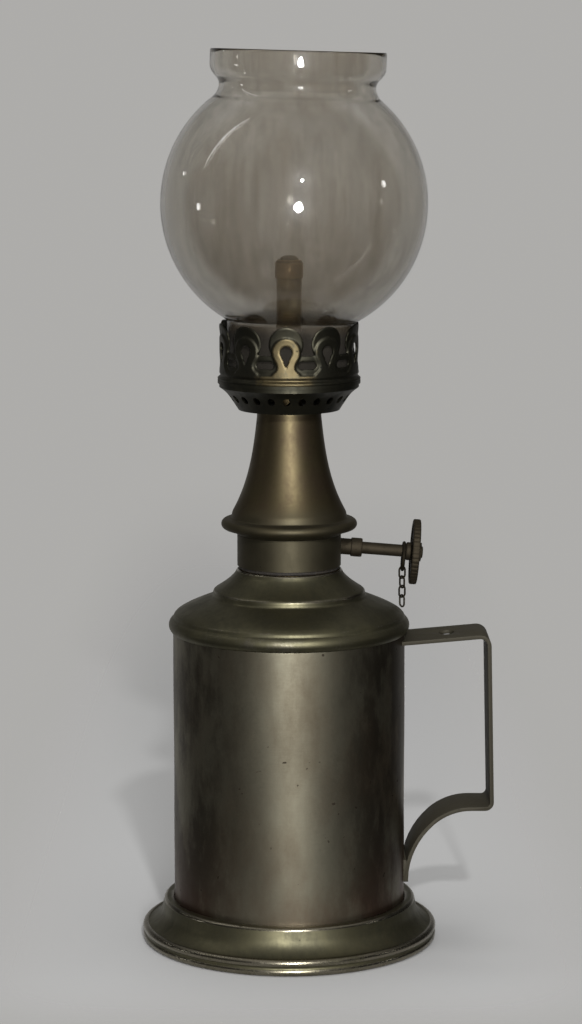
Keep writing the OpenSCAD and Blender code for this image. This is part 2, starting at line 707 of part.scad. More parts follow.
module chain_ring() color("dimgray")
    along_shaft(ring_t) translate([ring_hang, 0, 0])
        rotate_extrude() translate([ring_r, 0]) circle(d = ring_wire, $fn = 24);

// An upright chain link, whose place is counted down from the ring
module chain_link(i) color("dimgray")
    translate([chain_x, shaft_y,
        link_top - link_r - link_straight / 2 - (i - 1) * link_pitch])
        rotate([90, 0, link_turn - (i % 2 == 1 ? 0 : 90)]) {
            for (end = [0, 180]) rotate([0, 0, end]) translate([0, link_straight / 2, 0])
                rotate_extrude(angle = 180) translate([link_r, 0])
                    circle(d = link_wire, $fn = 24);
            for (side = [-1, 1]) translate([side * link_r, 0, 0]) rotate([90, 0, 0])
                cylinder(d = link_wire, h = link_straight, center = true, $fn = 24);
        }

module gallery_bowl() color("darkslategray") difference() {
    bottom_r = bowl_bottom_d / 2;
    knee_r = bowl_knee_d / 2;
    lip_r = ledge_r - 0.4;
    lip_z = seat_z - 1;
    low = [bottom_r, bowl_z];
    lip = [lip_r, lip_z];
    // The point that draws the curved wall out through the knee
    pull = (8 * [knee_r, bowl_z + bowl_knee_h] - low - lip) / 6;
    wall = curve(low, pull, pull, lip);
    skin = 0.8 * bowl_wall;
    lathe(concat(
        [[tube_hole_r, bowl_z]], wall, [[lip_r, seat_z], [lip_r - skin, seat_z]],
        [for (p = reversed(wall)) p + skin * [-1, 1]], [[tube_hole_r, bowl_z + skin]]
    ));
    for (i = [0:bowl_holes - 1])
        rotate([0, 0, crown_turn + i * 360 / bowl_holes])
            translate([bottom_r, 0, bowl_z + bowl_knee_h - 0.7]) rotate([0, 90, 0])
                cylinder(d = bowl_hole_d, h = 10, center = true);
}

module gallery_seat() color("darkslategray") difference() {
    tube(tube_hole_r, ledge_r, seat_z, crown_z);
    // Two rings of air holes around the wick tube
    for (row = [[tube_hole_r + 4.4, 10, 3.4], [tube_hole_r + 9, 20, 2.4]], i = [0:row[1] - 1])
        rotate([0, 0, i * 360 / row[1]]) translate([row[0], 0, seat_z - 1])
            cylinder(d = row[2], h = seat_t + 2);
}

module gallery_crown() color("darkslategray") {
    inner_r = crown_r - crown_wall;
    straight_h = crown_h - 6.1;
    curl = [for (i = [0:6]) let(u = i / 6)
        [crown_r + crown_curl * u * u, crown_z + straight_h + (crown_h - straight_h) * u]];
    inner_curl = [for (p = reversed(curl)) p - [crown_wall, 0]];
    gap_half = PI * crown_r / crown_lobes;
    slot_half = 1.4;
    slot_r = 1.05;
    // Half the width of the raised pattern between the slots, which cut its sides
    stem = min(gap_half - slot_half - slot_r + 0.15, shoe_d / 2 - 0.4);
    difference() {
        union() {
            lathe(concat(
                [[inner_r, crown_z], [ledge_r, crown_z], [ledge_r, crown_z + 0.6],
                 [crown_r, crown_z + 1.3]], curl, inner_curl));
            // The raised pattern: a ring on a spreading foot in the middle of each lobe
            intersection() {
                tube(crown_r - 0.2, crown_r + relief, crown_z + 1, crown_z + crown_h - 2);
                for (i = [0:crown_lobes - 1]) through_crown(crown_turn + i * lobe_pitch) {
                    translate([0, drop_h]) circle(d = shoe_d);
                    polygon([[-stem, drop_h - 1.6], [-stem, slot_h], [-stem - 0.3, slot_h - 1.1],
                        [-gap_half, 2.9], [-gap_half, 1.4], [gap_half, 1.4], [gap_half, 2.9],
                        [stem + 0.3, slot_h - 1.1], [stem, slot_h], [stem, drop_h - 1.6]]);
                }
            }
        }
        for (i = [0:crown_lobes - 1]) {
            // The drop-shaped hole in the ring
            through_crown(crown_turn + i * lobe_pitch) {
                translate([0, drop_h]) circle(d = drop_d);
                polygon([[0.05 - drop_d / 2, drop_h - 0.4], [0, drop_h - 3.8],
                    [drop_d / 2 - 0.05, drop_h - 0.4]]);
            }
            through_crown(crown_turn + (i + 0.5) * lobe_pitch) {
                // The gap between two lobes
                difference() {
                    translate([-gap_half, 8]) square([2 * gap_half, crown_h]);
                    for (side = [-1, 1]) translate([side * gap_half, lobe_z]) circle(d = lobe_d);
                }
                // The bean-shaped slot under it
                translate([-slot_half, slot_h - slot_r]) square([2 * slot_half, 2 * slot_r]);
                for (side = [-1, 1]) translate([side * slot_half, slot_h]) circle(r = slot_r);
            }
        }
    }
}

module glass_globe() color("aliceblue", 0.4) {
    inside = glass_side(glass_wall);
    translate([fitter_r, 0, crown_z + glass_gap]) rotate([0, glass_lean, 0])
        translate([-fitter_r, 0, 0])
            lathe(concat(glass_side(0), reversed([for (i = [0:len(inside) - 2]) inside[i]])));
}

foot();
base_plate();
reservoir_shell();
shoulder();
neck_boss();
felt_packing();
felt_gauze();
handle_strap();
seal_washer();
burner_base();
bell_column();
shaft_gland();
gland_packing();
gland_nut();
wick_tube();
wick_nozzle();
wick_carrier();
wick_rack();
wick();
pinion();
adjuster_shaft();
knob_hub();
knob_disc();
knob_nut();
chain_ring();
chain_link(1);  // chain_link_1
chain_link(2);  // chain_link_2
chain_link(3);  // chain_link_3
chain_link(4);  // chain_link_4
gallery_bowl();
gallery_seat();
gallery_crown();
glass_globe();
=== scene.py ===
# %% [markdown]
# # A portable spirit lamp, dressed for the camera
#
# The lamp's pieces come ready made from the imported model, each at its real place. This lesson
# gives them their looks: old metal, blown glass, a plaited wick and a pale studio. Where a piece
# needs a finer surface than the model has, a new mesh takes its place and rides on the same body.

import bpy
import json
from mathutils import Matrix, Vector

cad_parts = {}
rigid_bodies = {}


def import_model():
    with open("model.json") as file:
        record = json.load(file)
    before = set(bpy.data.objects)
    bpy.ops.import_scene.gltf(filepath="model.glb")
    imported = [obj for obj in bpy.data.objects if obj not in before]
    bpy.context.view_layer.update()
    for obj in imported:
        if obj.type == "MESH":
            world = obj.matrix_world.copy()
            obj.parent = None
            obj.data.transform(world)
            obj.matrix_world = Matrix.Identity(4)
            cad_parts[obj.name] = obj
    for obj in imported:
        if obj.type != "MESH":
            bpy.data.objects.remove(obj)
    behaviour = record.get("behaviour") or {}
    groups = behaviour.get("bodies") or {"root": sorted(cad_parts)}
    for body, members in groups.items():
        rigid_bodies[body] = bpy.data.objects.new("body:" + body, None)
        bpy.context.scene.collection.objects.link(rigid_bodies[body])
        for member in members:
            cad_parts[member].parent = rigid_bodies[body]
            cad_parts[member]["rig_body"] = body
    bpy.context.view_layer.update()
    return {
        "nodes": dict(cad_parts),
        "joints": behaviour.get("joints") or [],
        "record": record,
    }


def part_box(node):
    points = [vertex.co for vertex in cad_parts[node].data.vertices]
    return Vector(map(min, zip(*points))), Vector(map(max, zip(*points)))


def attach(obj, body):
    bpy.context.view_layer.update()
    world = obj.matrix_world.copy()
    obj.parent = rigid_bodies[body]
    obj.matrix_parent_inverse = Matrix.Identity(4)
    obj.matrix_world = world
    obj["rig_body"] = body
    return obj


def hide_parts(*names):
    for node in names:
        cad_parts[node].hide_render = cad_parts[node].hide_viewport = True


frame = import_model()
print("pieces in the frame:", len(frame["nodes"]))

# %% Tools for this lesson
import json
import math

import bmesh
import bpy
import numpy as np
from mathutils import Vector, noise

MM = 0.001

# %% [markdown]
# ## The camera
#
# The photograph looks at the lamp from the height of the glass's rim and from less than a metre
# away, so the foot is seen from above and its rings open into ellipses. A camera could be aimed
# with a constraint, but plain numbers are easier to check: its height, its distance and the
# angle that it looks down. The lens is worked out from the focal length in pixels, because a
# pixel is what can be measured in a picture.

# %% The camera
PICTURE_HEIGHT_PX = 1024
FOCAL_PX = 3050
SENSOR = 36
LOOK_DOWN = math.radians(8.613)
CAMERA_PLACE = Vector((0.5, -790, 233.8)) * MM

camera_data = bpy.data.cameras.new("camera")
camera_data.sensor_width = SENSOR
camera_data.lens = FOCAL_PX * SENSOR / PICTURE_HEIGHT_PX
camera_data.clip_start = 0.01
camera_data.clip_end = 20
camera = bpy.data.objects.new("camera", camera_data)
camera.location = CAMERA_PLACE
camera.rotation_euler = (math.pi / 2 - LOOK_DOWN, 0, 0)
bpy.context.scene.collection.objects.link(camera)
bpy.context.scene.camera = camera
print("lens, mm:", round(camera_data.lens, 1))

# %% [markdown]
# ## Shader maths as Python
#
# A material is a graph of nodes. Wired one node at a time, even a small formula takes a page, so
# a little class stands for a socket and turns + - * / into Math nodes. The reflected forms, such
# as __rsub__, let a plain number come first, as in 1 - mask. Colours and vectors have their own
# nodes, because a Math node would turn a colour grey.

# %% A socket that understands arithmetic
class Wire:
    """One value inside a shader."""

    def __init__(self, finish, socket):
        self.finish = finish
        self.socket = socket

    def math(self, operation, *others):
        return self.finish.math(operation, self, *others)

    def __add__(self, other):
        return self.math("ADD", other)

    def __sub__(self, other):
        return self.math("SUBTRACT", other)

    def __mul__(self, other):
        return self.math("MULTIPLY", other)

    def __truediv__(self, other):
        return self.math("DIVIDE", other)

    def __radd__(self, other):
        return self.finish.math("ADD", other, self)

    def __rsub__(self, other):
        return self.finish.math("SUBTRACT", other, self)

    def __rmul__(self, other):
        return self.finish.math("MULTIPLY", other, self)

    def __rtruediv__(self, other):
        return self.finish.math("DIVIDE", other, self)

    def __neg__(self):
        return self.math("MULTIPLY", -1.0)

    def at_most(self, other):
        return self.math("MINIMUM", other)

    def at_least(self, other):
        return self.math("MAXIMUM", other)

    def between(self, low, high):
        """0 at low, 1 at high, and smooth in between."""
        settings = {"interpolation_type": "SMOOTHSTEP"}
        values = {"Value": self, "From Min": low, "From Max": high}
        return self.finish.node("ShaderNodeMapRange", settings, values)


# %% A finish, which is a tree of nodes
class Finish:
    """A material, or the room's light, whose nodes are made by short calls."""

    def __init__(self, owner):
        self.owner = owner
        owner.use_nodes = True
        self.tree = owner.node_tree
        self.tree.nodes.clear()

    @classmethod
    def named(cls, name):
        return cls(bpy.data.materials.new(name))

    def node(self, kind, settings=None, values=None, output=0):
        """Adds a node: its settings first, then its sockets' values or links. Gives one output."""
        made = self.tree.nodes.new(kind)
        for name, value in (settings or {}).items():
            setattr(made, name, value)
        for name, value in (values or {}).items():
            if isinstance(value, Wire):
                self.tree.links.new(value.socket, made.inputs[name])
            else:
                made.inputs[name].default_value = value
        return Wire(self, made.outputs[output])

    def math(self, operation, *values):
        return self.node("ShaderNodeMath", {"operation": operation}, dict(enumerate(values)))

    def mix(self, factor, first, second):
        """A colour between two colours."""
        values = {0: factor, 6: first, 7: second}
        return self.node("ShaderNodeMix", {"data_type": "RGBA"}, values, output=2)

    def blend(self, factor, first, second):
        """A surface between two surfaces."""
        return self.node("ShaderNodeMixShader", None, {0: factor, 1: first, 2: second})

    def place(self, stretch=(1, 1, 1)):
        """The place on the object in millimetres, with each axis multiplied by its stretch."""
        here = self.node("ShaderNodeTexCoord", output="Object")
        scale = tuple(s / MM for s in stretch)
        return self.node("ShaderNodeVectorMath", {"operation": "MULTIPLY"}, {0: here, 1: scale})

    def axes(self, vector=None):
        """The three parts of a vector, each as a value of its own."""
        split = self.node("ShaderNodeSeparateXYZ", None, {0: vector or self.place()})
        parts = split.socket.node.outputs
        return [Wire(self, parts[i]) for i in range(3)]

    def noise(self, size, stretch=(1, 1, 1), detail=3.0, roughness=0.55, shift=0.0):
        """A cloud of light and dark whose blotches are about size millimetres across."""
        values = {
            "Vector": self.place(stretch), "Scale": 1.0 / size, "W": shift,
            "Detail": detail, "Roughness": roughness,
        }
        return self.node("ShaderNodeTexNoise", {"noise_dimensions": "4D"}, values)

    def wear_and_sheen(self):
        """Rub from the mesh: how far a piece stands out, and the crown's painted highlight."""
        return self.node("ShaderNodeAttribute", {"attribute_name": "wear_and_sheen"}, output="Fac")

    def bump(self, height, distance, strength=1.0, under=None):
        """Turns a height between 0 and 1 into a normal. The distance is in millimetres."""
        values = {"Height": height, "Distance": distance * MM, "Strength": strength}
        if under is not None:
            values["Normal"] = under
        return self.node("ShaderNodeBump", None, values)

    def output(self, shader, kind="ShaderNodeOutputMaterial"):
        out = self.tree.nodes.new(kind)
        self.tree.links.new(shader.socket, out.inputs["Surface"])
        return self.owner


def grey(value):
    return (value, value, value, 1.0)


def colour(red, green, blue):
    return (red, green, blue, 1.0)


print("shader helpers are ready")

# %% [markdown]
# ## Old metal
#
# Every metal piece of this lamp is brass, and each has aged in its own way. One recipe serves
# them all: a clean tone and a dirty tone, mixed by clouds of noise at two sizes, small dark
# pits, fine marks left by the lathe, and a rubbed tone wherever the mesh says that the piece
# stands out. On the gallery's crown that tone is also a painted highlight on the front lobes.
# A smooth metal would show the room like a mirror. This one has a rough skin, so a lamp in
# front of it becomes one soft upright streak, as in the photograph.

# %% The recipe for old metal
def old_metal(name, clean, dirty, rough, rubbed_and_sheen=None, polish=0.1, blotch=9.0, turned=0.004,
              pits=0.5, grime=None, dull=0.0):
    """Aged metal: its tones, the roughness of clean and dirty places, and the lathe's marks.
    Grime is a tone, two heights and a change of roughness: below the first height the piece has
    that tone all over. Dull is how far the grime hides the metal's shine."""
    f = Finish.named(name)
    clouds = f.noise(blotch, detail=5.0, roughness=0.62)
    streaks = f.noise(2.2, (1, 1, 0.16), detail=3.0, shift=3.1)
    fine = f.noise(0.7, detail=4.0, roughness=0.7, shift=7.7)
    dirt = (clouds * 0.62 + streaks * 0.26 + fine * 0.12).between(0.38, 0.66)
    tone = f.mix(dirt, clean, dirty)
    if grime is not None:
        grimy, full, none, rougher = grime
        settled = 1 - (f.axes()[2] + (clouds - 0.5) * 6.0).between(full, none)
        tone = f.mix(settled, tone, grimy)
    clean_rough, dirty_rough = rough
    skin = clean_rough + dirt * (dirty_rough - clean_rough) + (fine - 0.5) * 0.1
    metal_share = 1.0
    if grime is not None:
        skin = skin + settled * rougher
        metal_share = 1 - settled * dull if dull else 1.0
    if rubbed_and_sheen is not None:
        # The rubbed tone is wear, and where the mesh carries a painted highlight it paints that too.
        bare_and_sheen = (f.wear_and_sheen() + (fine - 0.5) * 0.9 + (clouds - 0.5) * 1.5).between(0.45, 1.05)
        tone = f.mix(bare_and_sheen, tone, rubbed_and_sheen)
        skin = skin - bare_and_sheen * polish
    spots = f.noise(1.5, detail=1.0, shift=5.9).between(0.735, 0.78)
    tone = f.mix(spots * pits, tone, grey(0.012))
    skin = skin + spots * 0.2
    marks = f.noise(0.22, (0.06, 0.06, 1), detail=2.0, shift=1.3)
    normal = f.bump(marks, turned)
    normal = f.bump(clouds, 0.06, 0.5, under=normal)
    shader = f.node("ShaderNodeBsdfPrincipled", None, {
        "Base Color": tone, "Metallic": metal_share, "Roughness": skin, "Normal": normal,
    })
    return f.output(shader)


# %% Worn nickel plate on the reservoir
def worn_nickel():
    f = Finish.named("worn_nickel")
    x, y, z = f.axes()
    stains = f.noise(17.0, (1, 1, 0.6), detail=6.0, roughness=0.62)
    streaks = f.noise(3.0, (1, 1, 0.2), detail=4.0, shift=2.0)
    fine = f.noise(0.8, detail=4.0, roughness=0.7, shift=4.0)
    worn = (stains * 0.72 + streaks * 0.16 + fine * 0.12).between(0.34, 0.68)
    plate = f.mix(worn, colour(0.2, 0.186, 0.137), colour(0.105, 0.089, 0.062))
    # Browner towards the right and the bottom, within the stains: a painted warm reflection.
    brown = (x - z * 0.35).between(-18.0, 22.0) * stains.between(0.35, 0.6)
    plate = f.mix(brown * 0.6, plate, colour(0.115, 0.077, 0.051))
    # The left and right sides, as the camera sees them, are marked for painted shade.
    side_shade = x.math("ABSOLUTE").between(10.0, 25.0)
    # Low on those sides the plate turns reddish: a painted reflection of what lies below.
    low = (1 - z.between(6.0, 40.0)) * (0.2 + side_shade * 0.8)
    plate = f.mix(low * stains.between(0.35, 0.6), plate, colour(0.1, 0.063, 0.046))
    # Dark patches: real tarnish in the middle, and painted shade towards the left and right.
    patches = f.noise(12.0, (1, 1, 0.4), detail=6.0, roughness=0.66, shift=6.0).between(0.42, 0.57)
    tarnish_and_side_shade = f.mix(low, colour(0.045, 0.036, 0.026), colour(0.06, 0.034, 0.023))
    plate = f.mix(patches * (0.14 + side_shade * 0.64), plate, tarnish_and_side_shade)
    spots = f.noise(1.9, detail=1.5, shift=9.0).between(0.71, 0.75)
    plate = f.mix(spots * 0.85, plate, colour(0.02, 0.014, 0.01))
    rough = 0.4 + worn * 0.09 + spots * 0.2 + (fine - 0.5) * 0.08
    lathe_marks = f.noise(0.25, (0.05, 0.05, 1), detail=2.0, shift=1.0)
    normal = f.bump(lathe_marks, 0.006)
    shader = f.node("ShaderNodeBsdfPrincipled", None, {
        "Base Color": plate, "Metallic": 1.0, "Roughness": rough, "Normal": normal,
    })
    return f.output(shader)


# %% The metals, piece by piece
METALS = {
    "worn_nickel": worn_nickel(),
    "patina_brass": old_metal(
        "patina_brass", colour(0.116, 0.107, 0.065), colour(0.066, 0.062, 0.041), (0.43, 0.54),
        rubbed_and_sheen=colour(0.21, 0.19, 0.145), polish=0.25,
    ),
    "column_brass": old_metal(
        "column_brass", colour(0.082, 0.066, 0.036), colour(0.062, 0.046, 0.029), (0.47, 0.56),
        rubbed_and_sheen=colour(0.07, 0.059, 0.036), polish=0.0, blotch=7.0,
        grime=(colour(0.066, 0.058, 0.038), 111.0, 118.5, 0.08),
    ),
    "raw_brass": old_metal(
        "raw_brass", colour(0.12, 0.09, 0.045), colour(0.05, 0.038, 0.022), (0.4, 0.52),
        blotch=4.0, turned=0.002,
    ),
    "dark_bronze": old_metal(
        "dark_bronze", colour(0.034, 0.028, 0.019), colour(0.02, 0.017, 0.012), (0.74, 0.8),
        rubbed_and_sheen=colour(0.05, 0.041, 0.028), polish=0.05, blotch=3.0, turned=0.002,
        grime=(colour(0.037, 0.032, 0.02), 86.0, 92.0, -0.08), dull=0.5,
    ),
    # Its rubbed tone also paints the highlight on the crown's front lobes.
    "black_bronze": old_metal(
        "black_bronze", colour(0.044, 0.041, 0.029), colour(0.024, 0.0235, 0.018), (0.44, 0.56),
        rubbed_and_sheen=colour(0.1, 0.08, 0.043), polish=0.03, blotch=3.0, turned=0.002,
    ),
    "heat_brown": old_metal(
        "heat_brown", colour(0.11, 0.075, 0.04), colour(0.045, 0.033, 0.022), (0.42, 0.55),
        rubbed_and_sheen=colour(0.16, 0.11, 0.06), blotch=3.0,
    ),
}
print("metals:", ", ".join(METALS))

# %% [markdown]
# ## Felt, cotton and leather
#
# Three soft things are inside the lamp: the felt that holds the fuel, the plaited wick and the
# leather washer. They share one recipe of matted fibres, which is fine noise in two directions
# over a plain dye. The wick's tip is charred black, and the char fades down into cream cotton.

# %% Soft finishes
def fibres(name, light, dark, size, rough, char=None):
    f = Finish.named(name)
    along = f.noise(size, (1, 1, 0.25), detail=4.0)
    across = f.noise(size, (0.3, 0.3, 1), detail=4.0, shift=2.0)
    weave = (along * 0.5 + across * 0.5).between(0.35, 0.65)
    tone = f.mix(weave, dark, light)
    if char is not None:
        height = f.axes()[2]
        start, full = char
        burnt = (height + (along - 0.5) * 4.0).between(start, full)
        tone = f.mix(burnt * 0.94, tone, grey(0.012))
    shader = f.node("ShaderNodeBsdfPrincipled", None, {
        "Base Color": tone, "Roughness": rough, "Normal": f.bump(weave, 0.12),
    })
    return f.output(shader)


wick_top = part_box("wick")[1].z / MM
SOFT = {
    "felt": fibres("felt", colour(0.5, 0.43, 0.33), colour(0.3, 0.25, 0.18), 0.8, 0.95),
    "cotton": fibres(
        "cotton", colour(0.72, 0.66, 0.54), colour(0.45, 0.39, 0.29), 0.35, 0.9,
        char=(wick_top - 9.0, wick_top - 1.5),
    ),
    "leather": fibres("leather", colour(0.02, 0.015, 0.01), colour(0.01, 0.008, 0.006), 0.6, 0.75),
}
print("soft finishes:", ", ".join(SOFT))

# %% [markdown]
# ## Clear glass
#
# Thin glass shows itself by its reflections and by the way its thick edges bend what lies
# behind. The mesh has an inner and an outer wall, so the shader is plain glass with a real
# index of refraction and a faint warm tint. Years of use have left a film on it: thin dust all
# over, and brown smoke where the glass stands in the hot gallery. The film is a rough skin
# mixed over the glass, and only the share of it varies. That share is partly a painted shade:
# the film is thickest where the glass faces the camera and thins towards the outline, so the
# globe's middle looks as if shade lay behind it. Inside the gallery it turns near black, which
# is soot and also a painted shade that darkens the crown's gaps.

# %% The glass finish
def clear_glass():
    f = Finish.named("clear_glass")
    height = f.axes()[2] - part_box("glass_globe")[0].z / MM
    ripple = f.noise(14.0, (1, 1, 0.5), detail=2.0)
    smears = f.noise(16.0, (1, 1, 0.3), detail=6.0, roughness=0.68, shift=3.0)
    smoke = 1 - (height + (smears - 0.5) * 26.0).between(4.0, 62.0)
    # Near-black soot inside the gallery, which is also a painted shade in the crown's gaps.
    soot_and_gap_shade = 1 - (height + (smears - 0.5) * 7.0).between(11.5, 18.0)
    edge = f.node("ShaderNodeLayerWeight", None, {"Blend": 0.5}, output=1)
    glass = f.node("ShaderNodeBsdfPrincipled", None, {
        "Base Color": colour(0.965, 0.945, 0.9), "Metallic": 0.0,
        "Roughness": 0.0, "IOR": 1.5, "Transmission Weight": 1.0,
        "Normal": f.bump(ripple, 0.2, 0.25),
    })
    brown = f.mix(smoke, colour(0.097, 0.075, 0.047), colour(0.086, 0.067, 0.043))
    film_and_shade = f.node("ShaderNodeBsdfPrincipled", None, {
        "Base Color": f.mix(soot_and_gap_shade, brown, colour(0.014, 0.0115, 0.008)),
        "Metallic": 0.0, "Roughness": 0.3 + soot_and_gap_shade * 0.62, "Specular IOR Level": 0.3,
    })
    runs = f.noise(3.0, (1, 1, 0.1), detail=4.0, roughness=0.65, shift=5.0).between(0.42, 0.7)
    # The film's share: dust, runs and smoke, and a painted shade in the globe's middle.
    film_and_shade_share = 0.13 + smears.between(0.35, 0.65) * 0.12 + runs * 0.1 + smoke * 0.19
    # Thinner towards the outline, as the camera sees it, so the painted shade stays in the middle.
    film_and_shade_share = film_and_shade_share * (1 - edge.between(0.34, 0.46) * 0.92)
    burnt = 0.6 + smears.between(0.35, 0.6) * 0.35
    return f.output(f.blend(film_and_shade_share + soot_and_gap_shade * (burnt - film_and_shade_share), glass, film_and_shade))


finishes = {**METALS, **SOFT, "clear_glass": clear_glass()}

# %% Finishes onto the pieces
slot_of = {s["node"]: s["material_slot"] for s in frame["record"]["subparts"]}
for name, node in frame["nodes"].items():
    node.data.materials.clear()
    node.data.materials.append(finishes[slot_of[name]])
print("dressed:", len(slot_of))

# %% [markdown]
# ## Turned pieces, read back from the frame
#
# Most of this lamp was spun from sheet or turned on a lathe, so one outline says everything
# about a piece. The model's own mesh holds that outline: its corners all lie on the edges that
# run straight up the side. So the outline is read back, its corners are rounded as sheet metal's
# are, and it is turned again with many more steps. Nothing is measured twice, and the new piece
# can't drift from the old one.

# %% Reading an outline
SAME_CORNER = 0.006 * MM
SAME_TURN = 2e-4


def sideways(axis):
    """Two directions across an axis, and across each other."""
    side = np.cross(axis, (0.0, 1.0, 0.0) if abs(axis[1]) < 0.9 else (1.0, 0.0, 0.0))
    side /= np.linalg.norm(side)
    return side, np.cross(axis, side)


def corners_of(radius, height):
    """Gives each vertex the number of its corner, and lists the corners."""
    corners = []
    numbers = np.empty(len(radius), int)
    for i in np.lexsort((radius, height)):
        here = (radius[i], height[i])
        for k in range(len(corners) - 1, max(-1, len(corners) - 12), -1):
            if math.dist(here, corners[k]) < SAME_CORNER:
                numbers[i] = k
                break
        else:
            numbers[i] = len(corners)
            corners.append(here)
    return numbers, corners


def section(name, point=(0, 0, 0), axis=(0, 0, 1)):
    """The outline of a turned piece, as (radius, height) corners in metres."""
    mesh = frame["nodes"][name].data
    axis = np.array(axis, float) / np.linalg.norm(axis)
    side, other = sideways(axis)
    places = np.array([v.co for v in mesh.vertices]) - np.array(point)
    radius = np.hypot(places @ side, places @ other)
    turn = np.arctan2(places @ other, places @ side)
    numbers, corners = corners_of(radius, places @ axis)
    joined = {}
    for edge in mesh.edges:
        a, b = edge.vertices
        apart = abs((turn[a] - turn[b] + math.pi) % (2 * math.pi) - math.pi)
        if numbers[a] != numbers[b] and apart < SAME_TURN:
            joined.setdefault(numbers[a], set()).add(numbers[b])
            joined.setdefault(numbers[b], set()).add(numbers[a])
    walk = [min(joined, key=lambda k: (len(joined[k]), k))]
    solid = len(joined[walk[0]]) == 1
    while True:
        onward = [k for k in joined[walk[-1]] if k not in walk]
        if not onward:
            break
        walk.append(min(onward, key=lambda k: math.dist(corners[k], corners[walk[-1]])))
    outline = [corners[k] for k in walk]
    if solid:
        outline = [(0.0, outline[0][1])] + outline + [(0.0, outline[-1][1])]
    return outline


# %% Rounding an outline
def rounded(outline, reach, times=2):
    """Cuts each corner, and then the new corners, by no more than the reach."""
    points = [Vector(p) for p in outline]
    for _ in range(times):
        softer = []
        for i, here in enumerate(points):
            if here.x < SAME_CORNER:
                softer.append(here)
                continue
            for near in (points[i - 1], points[(i + 1) % len(points)]):
                gap = (near - here).length
                softer.append(here.lerp(near, min(reach / gap, 0.27)))
        points = softer
    return points


def filled(points, step):
    """Adds points to an outline wherever two lie further apart than a step."""
    full = []
    for i, here in enumerate(points):
        after = points[(i + 1) % len(points)]
        count = max(1, math.ceil((after - here).length / step))
        on_axis = max(here.x, after.x) < SAME_CORNER
        full += [here] if on_axis else [here.lerp(after, k / count) for k in range(count)]
    return full


# %% [markdown]
# ## From points to a piece
#
# Every mesh below ends in the same few steps: its faces are turned to look outwards, it is
# shaded smooth except at true edges, and it rides on the body that carries its node, whose own
# mesh is hidden. The wear that the finishes ask for, with the crown's painted highlight, is kept
# with each vertex.

# %% Making a piece
def make_piece(name, node, points, faces, wear_and_sheen=None, edge_angle=40):
    mesh = bpy.data.meshes.new(name)
    mesh.from_pydata([tuple(p) for p in points], [], faces)
    layer = mesh.attributes.new("wear_and_sheen", "FLOAT", "POINT")
    layer.data.foreach_set("value", np.zeros(len(points)) if wear_and_sheen is None else wear_and_sheen)
    shape = bmesh.new()
    shape.from_mesh(mesh)
    bmesh.ops.remove_doubles(shape, verts=shape.verts, dist=1e-7)
    bmesh.ops.recalc_face_normals(shape, faces=shape.faces)
    shape.to_mesh(mesh)
    shape.free()
    mesh.shade_smooth()
    mesh.set_sharp_from_angle(angle=math.radians(edge_angle))
    mesh.materials.append(finishes[slot_of[node]])
    piece = bpy.data.objects.new(name, mesh)
    bpy.context.scene.collection.objects.link(piece)
    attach(piece, frame["nodes"][node]["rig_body"])
    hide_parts(node)
    return piece


# %% Turning a piece again
def bulge(points):
    """How far each point of an outline stands out from its neighbours, from 0 to 1."""
    out = []
    for i, here in enumerate(points):
        before = here - points[i - 1]
        after = points[(i + 1) % len(points)] - here
        if before.length < 1e-9 or after.length < 1e-9:
            out.append(0.0)
            continue
        turn = before.angle_signed(after)
        out.append(turn / (before.length + after.length) * MM)
    way = 1 if sum(out) > 0 else -1
    spread = [sum(out[(i + k) % len(out)] for k in (-2, -1, 0, 1, 2)) / 5 for i in range(len(out))]
    curve = np.array(spread) * way * 2.0
    thin_edge = np.clip((4.5 - curve) / 1.5, 0.3, 1)
    return np.clip(curve, 0, 1) * thin_edge


def turned(name, node, reach=0.35, turns=160, step=None, point=(0, 0, 0), axis=(0, 0, 1),
           uneven=None, outline=None):
    """Turns the outline of a node again. Uneven moves a ring's points: (radius, height, turn)."""
    points = rounded(outline or section(node, point, axis), reach * MM)
    if step is not None:
        points = filled(points, step * MM)
    axis = np.array(axis, float) / np.linalg.norm(axis)
    side, other = sideways(axis)
    wear_and_sheen = bulge(points)
    angle = np.linspace(0, 2 * math.pi, turns, endpoint=False)
    radius = np.array([p.x for p in points])[:, None] + 0 * angle
    height = np.array([p.y for p in points])[:, None] + 0 * angle
    if uneven is not None:
        radius, height = uneven(radius, height, angle[None, :] + 0 * radius)
    ring = np.cos(angle)[None, :, None] * side + np.sin(angle)[None, :, None] * other
    places = np.array(point) + height[..., None] * axis + radius[..., None] * ring
    rows, count = len(points), turns
    faces = []
    for i in range(rows):
        j = (i + 1) % rows
        if points[i].x < SAME_CORNER and points[j].x < SAME_CORNER:
            continue
        for k in range(count):
            n = (k + 1) % count
            faces.append((i * count + k, i * count + n, j * count + n, j * count + k))
    return make_piece(name, node, places.reshape(-1, 3), faces, np.repeat(wear_and_sheen, count))


def dents(amount, size, seed):
    """Soft unevenness of a radius, as old sheet metal and blown glass have."""
    def uneven(radius, height, angle):
        moved = np.empty_like(radius)
        for i in range(radius.shape[0]):
            for k in range(radius.shape[1]):
                a = angle[i, k]
                r = radius[i, k] / MM
                spot = Vector((r * math.cos(a), r * math.sin(a), height[i, k] / MM + seed))
                moved[i, k] = noise.noise(spot / size)
        fade = np.clip(radius / (2 * MM), 0, 1)
        return radius + moved * amount * MM * fade, height
    return uneven


# %% [markdown]
# ## The reservoir and the shoulder
#
# The reservoir is a plain sheet cylinder between two spinnings: the foot with its double bead
# and cove, and the shoulder with its rolled bead, dome, step and flare. A century of handling
# has left shallow dents, so the sheet is a few hundredths of a millimetre out of round. That
# is enough to make a highlight waver.

